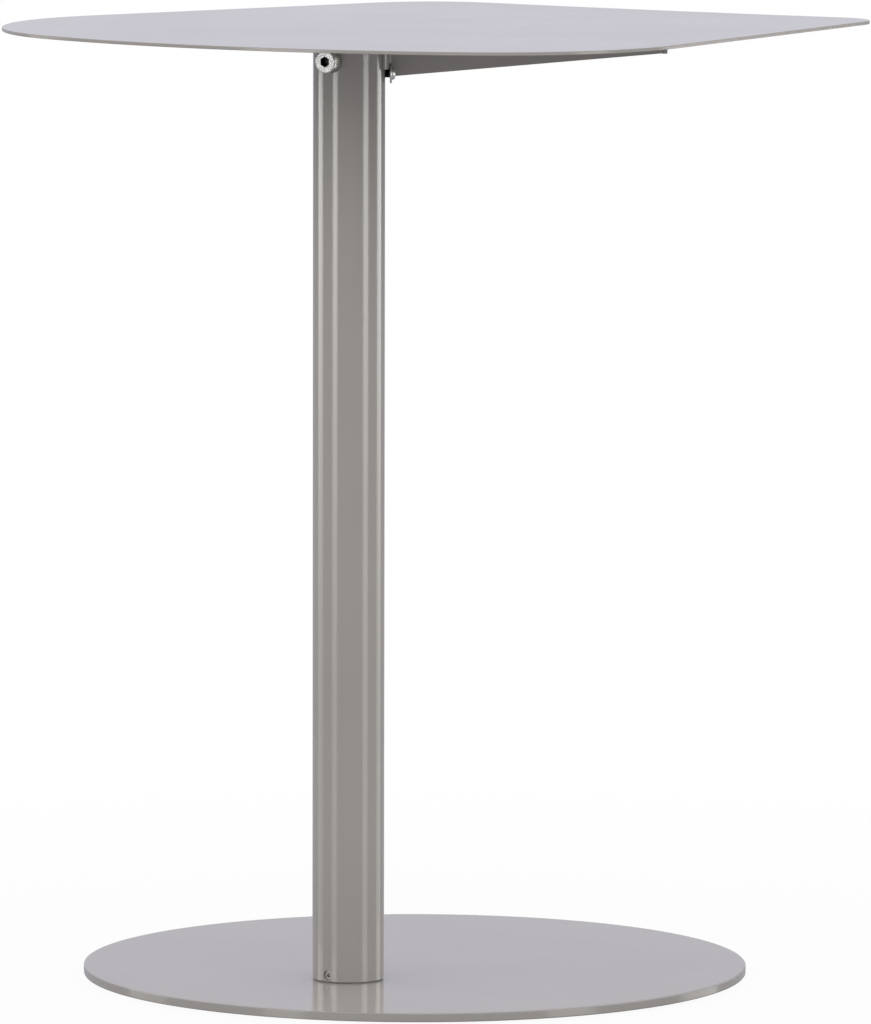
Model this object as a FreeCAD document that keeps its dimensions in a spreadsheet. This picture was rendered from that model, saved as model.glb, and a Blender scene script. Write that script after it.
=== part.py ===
import FreeCAD, Part
import math
import os
import Sketcher
from FreeCAD import Vector

# Corner table of sheet steel: a round base disc, a tube column set off its centre, and a thin top
# with softly rounded corners that two folded arms carry. Millimetres and degrees throughout.
# +Z is up. The origin is the centre of the base disc, on the floor. The side arm points along +X.

SIZES = [
    ("felt_thickness", 2),
    ("felt_inset", 16),
    ("felt_access_diameter", 26),
    ("base_diameter", 380),
    ("base_thickness", 5),
    ("base_rim_radius", 0.6),
    # the column stands this far left of the disc's centre and this far in front of it
    ("column_offset_left", 37.8),
    ("column_offset_front", 61),
    ("column_diameter", 40.7),
    ("column_wall", 2),
    ("column_length", 536),
    ("column_end_chamfer", 0.8),
    # plugs inside the two ends of the column
    ("plug_gap", 0.1),
    ("plug_chamfer", 1.5),
    ("foot_plug_length", 32),
    ("head_plug_length", 36),
    ("head_plug_setback", 1),
    # what a screw's thread and a clearance hole leave around a shank, on the radius
    ("thread_gap", 0.05),
    ("hole_gap", 0.25),
    ("foot_screw_diameter", 8),
    ("foot_screw_length", 25),
    ("foot_screw_head_diameter", 16),
    ("foot_screw_head_height", 4.4),
    ("foot_screw_key", 5),
    ("foot_screw_key_depth", 3),
    ("foot_pin_diameter", 5),
    ("foot_pin_length", 14),
    ("foot_pin_offset", 11),
    ("lock_screw_diameter", 5),
    ("lock_screw_length", 10),
    ("lock_screw_height", 4.2),
    ("lock_screw_azimuth", 235),
    ("lock_screw_recess", 1.2),
    ("lock_screw_key", 2.5),
    ("lock_screw_key_depth", 3),
    # arms of folded sheet, measured from the column's axis and down from the top's underside
    ("arm_sheet", 2.5),
    ("arm_bend_radius", 2),
    ("arm_saddle_gap", 0.1),
    ("arm_saddle_half_angle", 24),
    ("arm_web_offset", 8.5),
    ("arm_flange_width", 19.5),
    ("arm_relief", 2.5),
    ("arm_root_height", 22.2),
    ("arm_tip_height", 8.6),
    ("arm_tip_return", 7),
    ("side_arm_azimuth", 0),
    ("side_arm_length", 179.6),
    ("rear_arm_azimuth", 61.5),
    ("rear_arm_length", 212),
    # the screw that the side arm hooks on to
    ("hook_screw_drop", 19.7),
    ("hook_screw_diameter", 5),
    ("hook_screw_length", 16),
    ("hook_screw_flange_diameter", 11.5),
    ("hook_screw_flange_thickness", 1.1),
    ("hook_screw_dome_diameter", 7.6),
    ("hook_screw_dome_height", 2),
    ("hook_screw_dome_round", 1.6),
    ("hook_screw_key", 3),
    ("hook_screw_key_depth", 1.8),
    # the bolt that goes right through the column's head to the rear arm
    ("cross_bolt_drop", 11.6),
    ("cross_bolt_diameter", 8),
    ("cross_bolt_length", 55),
    ("cross_bolt_head_diameter", 13.3),
    ("cross_bolt_head_height", 8),
    ("cross_bolt_head_round", 0.8),
    ("cross_bolt_key", 6),
    ("cross_bolt_key_depth", 4),
    ("cross_washer_diameter", 16),
    ("cross_washer_thickness", 1.6),
    ("cross_nut_flats", 13),
    ("cross_nut_height", 6.8),
    # studs welded under the top, each with a washer and a nut below the arm's flange
    ("stud_diameter", 4),
    ("stud_length", 7.5),
    ("stud_washer_diameter", 9),
    ("stud_washer_thickness", 0.8),
    ("stud_nut_flats", 7),
    ("stud_nut_height", 3.2),
    # outline of the top, from the column's axis: three square-cornered sides and a slanting one
    ("top_thickness", 2),
    ("top_rim_radius", 0.4),
    ("right_corner_right", 308.1),
    ("right_corner_back", 136.8),
    ("near_right_angle", 59.5),
    ("near_right_length", 314),
    ("far_right_length", 303.2),
    ("far_right_hollow", 6),
    ("near_left_length", 447.2),
    ("near_left_bow", 75),
    ("left_corner_radius", 112),
    ("back_corner_radius", 62.5),
    ("right_corner_radius", 24),
    ("near_corner_radius", 117.5),
    # how far past a face a cut starts or ends
    ("overrun", 1),
]

# where the studs sit along an arm, as shares of its length
STUD_SHARES = (0.30, 0.58, 0.86)

ARMS = ("side_arm", "rear_arm")

doc = FreeCAD.newDocument("CornerTable")
sheet = doc.addObject("Spreadsheet::Sheet", "Sizes")
for row, (name, value) in enumerate(SIZES, start=1):
    sheet.set("A%d" % row, name)
    sheet.set("B%d" % row, str(value))
    sheet.setAlias("B%d" % row, name)
doc.recompute()

# sums of sizes that several pieces share, written as the sheet's expressions
S = "Sizes."
AXIS_X = "(-Sizes.column_offset_left)"
AXIS_Y = "(-Sizes.column_offset_front)"
BASE_TOP = "(Sizes.felt_thickness + Sizes.base_thickness)"
UNDERSIDE = "(Sizes.felt_thickness + Sizes.base_thickness + Sizes.column_length)"
TUBE_RADIUS = "(Sizes.column_diameter / 2)"
BORE_RADIUS = "(Sizes.column_diameter / 2 - Sizes.column_wall)"
PLUG_RADIUS = "(Sizes.column_diameter / 2 - Sizes.column_wall - Sizes.plug_gap)"
SADDLE_INNER = "(Sizes.column_diameter / 2 + Sizes.arm_saddle_gap)"
SADDLE_OUTER = "(Sizes.column_diameter / 2 + Sizes.arm_saddle_gap + Sizes.arm_sheet)"
NODES = []


def size(name):
    """The value of a named size, for choosing edges and first guesses."""
    return float(sheet.get(name))


def vector(x, y, z):
    return "vector(%s; %s; %s)" % (x, y, z)


def placed(x="0", y="0", z="0", yaw="0", pitch="0"):
    """A placement as an expression: turned by pitch about Y, then by yaw about Z, then moved."""
    return "placement(%s; rotation(%s; %s; 0))" % (vector(x, y, z), yaw, pitch)


def radial(azimuth, reach, z):
    """A placement on the column whose local Z points outwards at the azimuth, from the reach."""
    x = "%s + %s * cos(%s)" % (AXIS_X, reach, azimuth)
    y = "%s + %s * sin(%s)" % (AXIS_Y, reach, azimuth)
    return placed(x, y, z, azimuth, "90")


def new_body(label):
    body = doc.addObject("PartDesign::Body", label)
    body.Label = label
    NODES.append(body)
    return body


def feature(body, kind, name, sizes, place=None):
    """Adds or cuts a primitive in a body, its sizes and place bound to expressions."""
    item = body.newObject("PartDesign::" + kind, name)
    for prop, expression in sizes.items():
        item.setExpression(prop, expression)
    if place:
        item.setExpression("Placement", place)
    return item


def disc(body, name, radius, height, place=None, kind="Additive"):
    return feature(body, kind + "Cylinder", name, {"Radius": radius, "Height": height}, place)


def hole(body, name, radius, height, place=None):
    return disc(body, name, radius, height, place, "Subtractive")


def box(body, name, length, width, height, place, kind="Additive"):
    sizes = {"Length": length, "Width": width, "Height": height}
    return feature(body, kind + "Box", name, sizes, place)


def hex_socket(body, name, flats, depth, face):
    """A hexagon key's socket sunk from the height of a screw's face."""
    place = placed(z="%s - %s" % (face, depth))
    sizes = {"Circumradius": "%s / sqrt(3)" % flats, "Height": "%s + Sizes.overrun" % depth}
    item = feature(body, "SubtractivePrism", name, sizes, place)
    item.Polygon = 6
    return item


def edges_where(item, test):
    """Names of the edges of a feature whose middle point and direction pass the test."""
    doc.recompute()
    names = []
    for number, edge in enumerate(item.Shape.Edges, start=1):
        middle = edge.valueAt((edge.FirstParameter + edge.LastParameter) / 2)
        start = edge.valueAt(edge.FirstParameter)
        end = edge.valueAt(edge.LastParameter)
        if test(middle, start, end, edge):
            names.append("Edge%d" % number)
    return names


def soften(body, name, edges, radius, kind="Fillet"):
    """Rounds or chamfers the named edges of the body's last feature."""
    base = body.Tip
    item = body.newObject("PartDesign::" + kind, name)
    item.Base = (base, edges)
    item.setExpression("Radius" if kind == "Fillet" else "Size", radius)
    return item


def same(a, b):
    """Whether two lengths agree to within a small share of the sheet's thickness."""
    return abs(a - b) < size("arm_sheet") / 100


def circle_at(z, radius):
    """A test for the full circle of one radius at one height."""
    def test(middle, start, end, edge):
        curve = edge.Curve
        return isinstance(curve, Part.Circle) and same(curve.Radius, radius) and same(middle.z, z)
    return test


def base_felt():
    """Felt disc glued under the base, with a hole at the foot screw."""
    body = new_body("base_felt")
    disc(body, "FeltDisc", "Sizes.base_diameter / 2 - Sizes.felt_inset", "Sizes.felt_thickness")
    place = placed(AXIS_X, AXIS_Y, "-Sizes.overrun")
    height = "Sizes.felt_thickness + 2 * Sizes.overrun"
    hole(body, "FeltAccess", "Sizes.felt_access_diameter / 2", height, place)


def base_plate():
    """Flat steel disc with a countersunk hole and a pin hole under the column."""
    body = new_body("base_plate")
    disc(body, "BaseDisc", "Sizes.base_diameter / 2", "Sizes.base_thickness",
         placed(z="Sizes.felt_thickness"))
    radius = size("base_diameter") / 2
    bottom = size("felt_thickness")
    top = bottom + size("base_thickness")

    def rim(middle, start, end, edge):
        return circle_at(bottom, radius)(middle, start, end, edge) or \
            circle_at(top, radius)(middle, start, end, edge)

    soften(body, "BaseRim", edges_where(body.Tip, rim), "Sizes.base_rim_radius")
    below = "Sizes.felt_thickness - Sizes.overrun"
    through = "Sizes.base_thickness + 2 * Sizes.overrun"
    hole(body, "BaseScrewHole", "Sizes.foot_screw_diameter / 2 + Sizes.hole_gap", through,
         placed(AXIS_X, AXIS_Y, below))
    cone = {
        "Radius1": "Sizes.foot_screw_head_diameter / 2 + Sizes.thread_gap",
        "Radius2": "Sizes.foot_screw_diameter / 2 + Sizes.thread_gap",
        "Height": "Sizes.foot_screw_head_height",
    }
    feature(body, "SubtractiveCone", "BaseCountersink", cone,
            placed(AXIS_X, AXIS_Y, "Sizes.felt_thickness"))
    hole(body, "BasePinHole", "Sizes.foot_pin_diameter / 2 + Sizes.thread_gap", through,
         placed("%s + Sizes.foot_pin_offset" % AXIS_X, AXIS_Y, below))


def foot_plug():
    """Steel plug that stands on the base inside the column's lower end."""
    body = new_body("foot_plug")
    disc(body, "FootPlugBar", PLUG_RADIUS, "Sizes.foot_plug_length",
         placed(AXIS_X, AXIS_Y, BASE_TOP))
    radius = size("column_diameter") / 2 - size("column_wall") - size("plug_gap")
    top = size("felt_thickness") + size("base_thickness") + size("foot_plug_length")
    edges = edges_where(body.Tip, circle_at(top, radius))
    soften(body, "FootPlugLead", edges, "Sizes.plug_chamfer", "Chamfer")
    depth = "Sizes.foot_screw_length - Sizes.base_thickness + 2 * Sizes.overrun"
    below = "%s - Sizes.overrun" % BASE_TOP
    hole(body, "FootPlugThread", "Sizes.foot_screw_diameter / 2 + Sizes.thread_gap", depth,
         placed(AXIS_X, AXIS_Y, below))
    pin_depth = "Sizes.foot_pin_length - Sizes.base_thickness + 2 * Sizes.overrun"
    hole(body, "FootPlugPinHole", "Sizes.foot_pin_diameter / 2 + Sizes.thread_gap", pin_depth,
         placed("%s + Sizes.foot_pin_offset" % AXIS_X, AXIS_Y, below))
    reach = "(%s - Sizes.lock_screw_recess - Sizes.lock_screw_length)" % TUBE_RADIUS
    hole(body, "FootPlugLockThread", "Sizes.lock_screw_diameter / 2 + Sizes.thread_gap",
         "Sizes.lock_screw_length + Sizes.overrun", radial(LOCK_AZIMUTH, reach, LOCK_HEIGHT))


def foot_screw():
    """Countersunk socket screw from below the base into the foot plug."""
    body = new_body("foot_screw")
    disc(body, "FootScrewShank", "Sizes.foot_screw_diameter / 2", "Sizes.foot_screw_length",
         placed())
    cone = {
        "Radius1": "Sizes.foot_screw_head_diameter / 2",
        "Radius2": "Sizes.foot_screw_diameter / 2",
        "Height": "Sizes.foot_screw_head_height",
    }
    feature(body, "AdditiveCone", "FootScrewHead", cone, placed())
    sizes = {
        "Circumradius": "Sizes.foot_screw_key / sqrt(3)",
        "Height": "Sizes.foot_screw_key_depth + Sizes.overrun",
    }
    socket = feature(body, "SubtractivePrism", "FootScrewSocket", sizes,
                     placed(z="-Sizes.overrun"))
    socket.Polygon = 6
    body.setExpression("Placement", placed(AXIS_X, AXIS_Y, "Sizes.felt_thickness"))


def foot_pin():
    """Pin beside the foot screw that keeps the plug from turning on the base."""
    body = new_body("foot_pin")
    disc(body, "FootPinBar", "Sizes.foot_pin_diameter / 2", "Sizes.foot_pin_length",
         placed("%s + Sizes.foot_pin_offset" % AXIS_X, AXIS_Y, "Sizes.felt_thickness"))


def foot_lock_screw():
    """Grub screw through the column's foot into the plug; its end shows in the hole."""
    body = new_body("foot_lock_screw")
    disc(body, "LockScrewBar", "Sizes.lock_screw_diameter / 2", "Sizes.lock_screw_length")
    hex_socket(body, "LockScrewSocket", "Sizes.lock_screw_key", "Sizes.lock_screw_key_depth",
               "Sizes.lock_screw_length")
    reach = "(%s - Sizes.lock_screw_recess - Sizes.lock_screw_length)" % TUBE_RADIUS
    body.setExpression("Placement", radial(LOCK_AZIMUTH, reach, LOCK_HEIGHT))


def column_tube():
    """Round tube with the holes for the cross bolt, the hook screw and the foot's grub screw."""
    body = new_body("column_tube")
    disc(body, "ColumnBar", TUBE_RADIUS, "Sizes.column_length", placed(AXIS_X, AXIS_Y, BASE_TOP))
    hole(body, "ColumnBore", BORE_RADIUS, "Sizes.column_length + 2 * Sizes.overrun",
         placed(AXIS_X, AXIS_Y, "%s - Sizes.overrun" % BASE_TOP))
    bottom = size("felt_thickness") + size("base_thickness")
    top = bottom + size("column_length")
    radius = size("column_diameter") / 2

    def outer_ends(middle, start, end, edge):
        return circle_at(bottom, radius)(middle, start, end, edge) or \
            circle_at(top, radius)(middle, start, end, edge)

    edges = edges_where(body.Tip, outer_ends)
    soften(body, "ColumnEnds", edges, "Sizes.column_end_chamfer", "Chamfer")
    across = "Sizes.column_diameter + 2 * Sizes.overrun"
    outside = "(-%s - Sizes.overrun)" % TUBE_RADIUS
    hole(body, "ColumnCrossHole", "Sizes.cross_bolt_diameter / 2 + Sizes.hole_gap", across,
         radial("Sizes.rear_arm_azimuth", outside, CROSS_HEIGHT))
    wall = "Sizes.column_wall + 2 * Sizes.overrun"
    inside = "(%s - Sizes.overrun)" % BORE_RADIUS
    hole(body, "ColumnHookHole", "Sizes.hook_screw_diameter / 2 + Sizes.hole_gap", wall,
         radial("Sizes.side_arm_azimuth", inside, HOOK_HEIGHT))
    hole(body, "ColumnLockHole", "Sizes.lock_screw_diameter / 2 + Sizes.hole_gap", wall,
         radial(LOCK_AZIMUTH, inside, LOCK_HEIGHT))


def head_plug():
    """Plug in the column's upper end that the cross bolt and the hook screw go into."""
    body = new_body("head_plug")
    bottom = "%s - Sizes.head_plug_setback - Sizes.head_plug_length" % UNDERSIDE
    disc(body, "HeadPlugBar", PLUG_RADIUS, "Sizes.head_plug_length",
         placed(AXIS_X, AXIS_Y, bottom))
    radius = size("column_diameter") / 2 - size("column_wall") - size("plug_gap")
    base_top = size("felt_thickness") + size("base_thickness")
    end = base_top + size("column_length") - size("head_plug_setback") - size("head_plug_length")
    edges = edges_where(body.Tip, circle_at(end, radius))
    soften(body, "HeadPlugLead", edges, "Sizes.plug_chamfer", "Chamfer")
    hole(body, "HeadPlugCrossHole", "Sizes.cross_bolt_diameter / 2 + Sizes.hole_gap",
         "Sizes.column_diameter", radial("Sizes.rear_arm_azimuth", "(-%s)" % TUBE_RADIUS,
                                         CROSS_HEIGHT))
    reach = "(%s - Sizes.hook_screw_length)" % SADDLE_OUTER
    hole(body, "HeadPlugHookThread", "Sizes.hook_screw_diameter / 2 + Sizes.thread_gap",
         "Sizes.hook_screw_length", radial("Sizes.side_arm_azimuth", reach, HOOK_HEIGHT))


def arm(name, cut_fixing):
    """Folded arm: saddle on the column, upright web, flange under the top, return at the tip."""
    length = S + name + "_length"
    body = new_body(name)
    root_z = "-Sizes.arm_root_height"
    flange_start = "(%s + Sizes.arm_relief)" % SADDLE_OUTER
    flange_end = "(%s - Sizes.arm_sheet - Sizes.arm_relief)" % length
    fold_length = "%s - %s" % (flange_end, flange_start)
    flange_y = "Sizes.arm_web_offset + Sizes.arm_sheet - Sizes.arm_flange_width"
    box(body, name + "_web", fold_length, "Sizes.arm_sheet", "Sizes.arm_root_height",
        placed(flange_start, "Sizes.arm_web_offset", root_z))
    box(body, name + "_flange", fold_length, "Sizes.arm_flange_width", "Sizes.arm_sheet",
        placed(flange_start, flange_y, "-Sizes.arm_sheet"))
    top_bend(body, name)
    box(body, name + "_root", flange_start, "Sizes.arm_sheet", "Sizes.arm_root_height",
        placed("0", "Sizes.arm_web_offset", root_z))
    box(body, name + "_tip", "%s - %s" % (length, flange_end), "Sizes.arm_sheet",
        "Sizes.arm_root_height", placed(flange_end, "Sizes.arm_web_offset", root_z))
    box(body, name + "_return", "Sizes.arm_sheet", "Sizes.arm_tip_return",
        "Sizes.arm_root_height",
        placed("%s - Sizes.arm_sheet" % length,
               "Sizes.arm_web_offset + Sizes.arm_sheet - Sizes.arm_tip_return", root_z))
    mid_web = "asin((Sizes.arm_web_offset + Sizes.arm_sheet / 2) / %s)" % SADDLE_INNER
    for side, yaw, angle in (("back", "0", mid_web),
                             ("front", "-Sizes.arm_saddle_half_angle",
                              "Sizes.arm_saddle_half_angle")):
        sector = {"Radius": SADDLE_OUTER, "Height": "Sizes.arm_root_height", "Angle": angle}
        feature(body, "AdditiveCylinder", "%s_saddle_%s" % (name, side), sector,
                placed(z=root_z, yaw=yaw))
    hole(body, name + "_column_bed", SADDLE_INNER, "Sizes.arm_root_height + 2 * Sizes.overrun",
         placed(z="%s - Sizes.overrun" % root_z))
    upright_bends(body, name)
    slope = "atan((Sizes.arm_root_height - Sizes.arm_tip_height) / (%s - %s))" % (
        length, SADDLE_OUTER)
    drop = "Sizes.arm_root_height"
    box(body, name + "_taper", length, "2 * Sizes.column_diameter", drop,
        placed("%s + %s * sin(%s)" % (SADDLE_OUTER, drop, slope), "-Sizes.column_diameter",
               "%s - %s * cos(%s)" % (root_z, drop, slope), "0", "-(%s)" % slope), "Subtractive")
    for number, share in enumerate(STUD_SHARES, start=1):
        hole(body, "%s_stud_hole_%d" % (name, number),
             "Sizes.stud_diameter / 2 + Sizes.hole_gap", "Sizes.arm_sheet + 2 * Sizes.overrun",
             placed("%s * %s" % (share, length), "0", "-Sizes.arm_sheet - Sizes.overrun"))
    cut_fixing(body)
    body.setExpression("Placement", placed(AXIS_X, AXIS_Y, UNDERSIDE, S + name + "_azimuth"))


def top_bend(body, name):
    """Rounds the long fold between an arm's web and its flange, inside and outside."""
    front = size("arm_web_offset")
    back = front + size("arm_sheet")

    def inside(middle, start, end, edge):
        return same(start.y, front) and same(end.y, front) \
            and same(start.z, -size("arm_sheet")) and same(end.z, -size("arm_sheet"))

    def outside(middle, start, end, edge):
        return same(start.y, back) and same(end.y, back) and same(start.z, 0) and same(end.z, 0)

    soften(body, name + "_top_bend_in", edges_where(body.Tip, inside), "Sizes.arm_bend_radius")
    soften(body, name + "_top_bend_out", edges_where(body.Tip, outside),
           "Sizes.arm_bend_radius + Sizes.arm_sheet")


def upright_bends(body, name):
    """Rounds an arm's upright folds, at the saddle and at the tip."""
    length = size(name + "_length")
    front = size("arm_web_offset")
    back = front + size("arm_sheet")
    outer_radius = size("column_diameter") / 2 + size("arm_saddle_gap") + size("arm_sheet")
    corner_x = math.sqrt(outer_radius ** 2 - front ** 2)

    def upright(start, end, x, y):
        return same(start.x, x) and same(end.x, x) and same(start.y, y) and same(end.y, y)

    def inside(middle, start, end, edge):
        return upright(start, end, length - size("arm_sheet"), front) \
            or upright(start, end, corner_x, front)

    def outside(middle, start, end, edge):
        return upright(start, end, length, back)

    soften(body, name + "_bends_in", edges_where(body.Tip, inside), "Sizes.arm_bend_radius")
    soften(body, name + "_bend_out", edges_where(body.Tip, outside),
           "Sizes.arm_bend_radius + Sizes.arm_sheet")


def hook_notch(body):
    """Open notch in the side arm's saddle that drops over the hook screw's shank."""
    radius = "(Sizes.hook_screw_diameter / 2 + Sizes.hole_gap)"
    reach = "(%s - Sizes.arm_sheet - Sizes.overrun)" % SADDLE_INNER
    through = "2 * Sizes.arm_sheet + 2 * Sizes.overrun"
    hole(body, "HookSeat", radius, through,
         placed(reach, "0", "-Sizes.hook_screw_drop", "0", "90"))
    box(body, "HookNotch", through, "%s" % SADDLE_OUTER, "Sizes.arm_root_height",
        placed(reach, "-%s" % SADDLE_OUTER,
               "-Sizes.hook_screw_drop + %s - Sizes.arm_root_height" % radius), "Subtractive")


def bolt_hole(body):
    """Hole in the rear arm's saddle for the cross bolt."""
    reach = "(%s - Sizes.arm_sheet - Sizes.overrun)" % SADDLE_INNER
    hole(body, "CrossBoltHole", "Sizes.cross_bolt_diameter / 2 + Sizes.hole_gap",
         "2 * Sizes.arm_sheet + 2 * Sizes.overrun",
         placed(reach, "0", "-Sizes.cross_bolt_drop", "0", "90"))


def hook_screw():
    """Flanged button-head screw on the column's right flank that holds the side arm."""
    body = new_body("hook_screw")
    disc(body, "HookShank", "Sizes.hook_screw_diameter / 2", "Sizes.hook_screw_length",
         placed(z="-Sizes.hook_screw_length"))
    disc(body, "HookFlange", "Sizes.hook_screw_flange_diameter / 2",
         "Sizes.hook_screw_flange_thickness")
    face = "Sizes.hook_screw_flange_thickness + Sizes.hook_screw_dome_height"
    disc(body, "HookDome", "Sizes.hook_screw_dome_diameter / 2", face)
    height = size("hook_screw_flange_thickness") + size("hook_screw_dome_height")
    edges = edges_where(body.Tip, circle_at(height, size("hook_screw_dome_diameter") / 2))
    soften(body, "HookDomeRound", edges, "Sizes.hook_screw_dome_round")
    hex_socket(body, "HookSocket", "Sizes.hook_screw_key", "Sizes.hook_screw_key_depth", face)
    body.setExpression("Placement",
                       radial("Sizes.side_arm_azimuth", SADDLE_OUTER, HOOK_HEIGHT))


def cross_bolt():
    """Socket cap screw through the column's head, its head towards the front left."""
    body = new_body("cross_bolt")
    disc(body, "CrossShank", "Sizes.cross_bolt_diameter / 2", "Sizes.cross_bolt_length")
    disc(body, "CrossHead", "Sizes.cross_bolt_head_diameter / 2", "Sizes.cross_bolt_head_height",
         placed(z="-Sizes.cross_bolt_head_height"))
    radius = size("cross_bolt_head_diameter") / 2
    edges = edges_where(body.Tip, circle_at(-size("cross_bolt_head_height"), radius))
    soften(body, "CrossHeadRound", edges, "Sizes.cross_bolt_head_round")
    sizes = {
        "Circumradius": "Sizes.cross_bolt_key / sqrt(3)",
        "Height": "Sizes.cross_bolt_key_depth + Sizes.overrun",
    }
    socket = feature(body, "SubtractivePrism", "CrossSocket", sizes,
                     placed(z="-Sizes.cross_bolt_head_height - Sizes.overrun"))
    socket.Polygon = 6
    body.setExpression("Placement",
                       radial("Sizes.rear_arm_azimuth", "(-%s)" % TUBE_RADIUS, CROSS_HEIGHT))


def cross_washer():
    """Washer between the rear arm's saddle and the nut."""
    body = new_body("cross_washer")
    disc(body, "CrossWasherDisc", "Sizes.cross_washer_diameter / 2",
         "Sizes.cross_washer_thickness")
    hole(body, "CrossWasherHole", "Sizes.cross_bolt_diameter / 2 + Sizes.hole_gap",
         "Sizes.cross_washer_thickness")
    body.setExpression("Placement",
                       radial("Sizes.rear_arm_azimuth", SADDLE_OUTER, CROSS_HEIGHT))


def cross_nut():
    """Hexagon nut on the cross bolt, inside the rear arm's folds."""
    body = new_body("cross_nut")
    sizes = {"Circumradius": "Sizes.cross_nut_flats / sqrt(3)", "Height": "Sizes.cross_nut_height"}
    prism = feature(body, "AdditivePrism", "CrossNutPrism", sizes)
    prism.Polygon = 6
    hole(body, "CrossNutThread", "Sizes.cross_bolt_diameter / 2 + Sizes.thread_gap",
         "Sizes.cross_nut_height")
    reach = "(%s + Sizes.cross_washer_thickness)" % SADDLE_OUTER
    body.setExpression("Placement", radial("Sizes.rear_arm_azimuth", reach, CROSS_HEIGHT))


def stud_places():
    """The studs' axes: each arm's stations, from the column's axis along the arm."""
    places = []
    for name in ARMS:
        for share in STUD_SHARES:
            reach = "%s * %s" % (share, S + name + "_length")
            x = "%s + %s * cos(%s)" % (AXIS_X, reach, S + name + "_azimuth")
            y = "%s + %s * sin(%s)" % (AXIS_Y, reach, S + name + "_azimuth")
            places.append((x, y))
    return places


def group(label, members):
    """One node of alike, separate solids."""
    compound = doc.addObject("Part::Compound", label)
    compound.Label = label
    compound.Links = members
    NODES.append(compound)


def plain_cylinder(name, radius, height, place):
    item = doc.addObject("Part::Cylinder", name)
    item.setExpression("Radius", radius)
    item.setExpression("Height", height)
    item.setExpression("Placement", place)
    return item


def bored(name, blank, radius, height, place):
    """A blank with a hole down its middle."""
    cut = doc.addObject("Part::Cut", name)
    cut.Base = blank
    cut.Tool = plain_cylinder(name + "_hole", radius, height, place)
    return cut


def stud_fixings():
    """Weld studs under the top, with the washers and nuts that hold the arms' flanges."""
    studs = []
    washers = []
    nuts = []
    for number, (x, y) in enumerate(stud_places(), start=1):
        stud_z = "%s - Sizes.stud_length" % UNDERSIDE
        studs.append(plain_cylinder("stud_%d" % number, "Sizes.stud_diameter / 2",
                                    "Sizes.stud_length", placed(x, y, stud_z)))
        washer_z = "%s - Sizes.arm_sheet - Sizes.stud_washer_thickness" % UNDERSIDE
        blank = plain_cylinder("washer_blank_%d" % number, "Sizes.stud_washer_diameter / 2",
                               "Sizes.stud_washer_thickness", placed(x, y, washer_z))
        washers.append(bored("washer_%d" % number, blank,
                             "Sizes.stud_diameter / 2 + Sizes.hole_gap",
                             "Sizes.stud_washer_thickness", placed(x, y, washer_z)))
        nut_z = "%s - Sizes.stud_nut_height" % washer_z
        prism = doc.addObject("Part::Prism", "nut_blank_%d" % number)
        prism.Polygon = 6
        prism.setExpression("Circumradius", "Sizes.stud_nut_flats / sqrt(3)")
        prism.setExpression("Height", "Sizes.stud_nut_height")
        prism.setExpression("Placement", placed(x, y, nut_z))
        nuts.append(bored("nut_%d" % number, prism, "Sizes.stud_diameter / 2 + Sizes.thread_gap",
                          "Sizes.stud_nut_height", placed(x, y, nut_z)))
    group("top_studs", studs)
    group("stud_washers", washers)
    group("stud_nuts", nuts)


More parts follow.
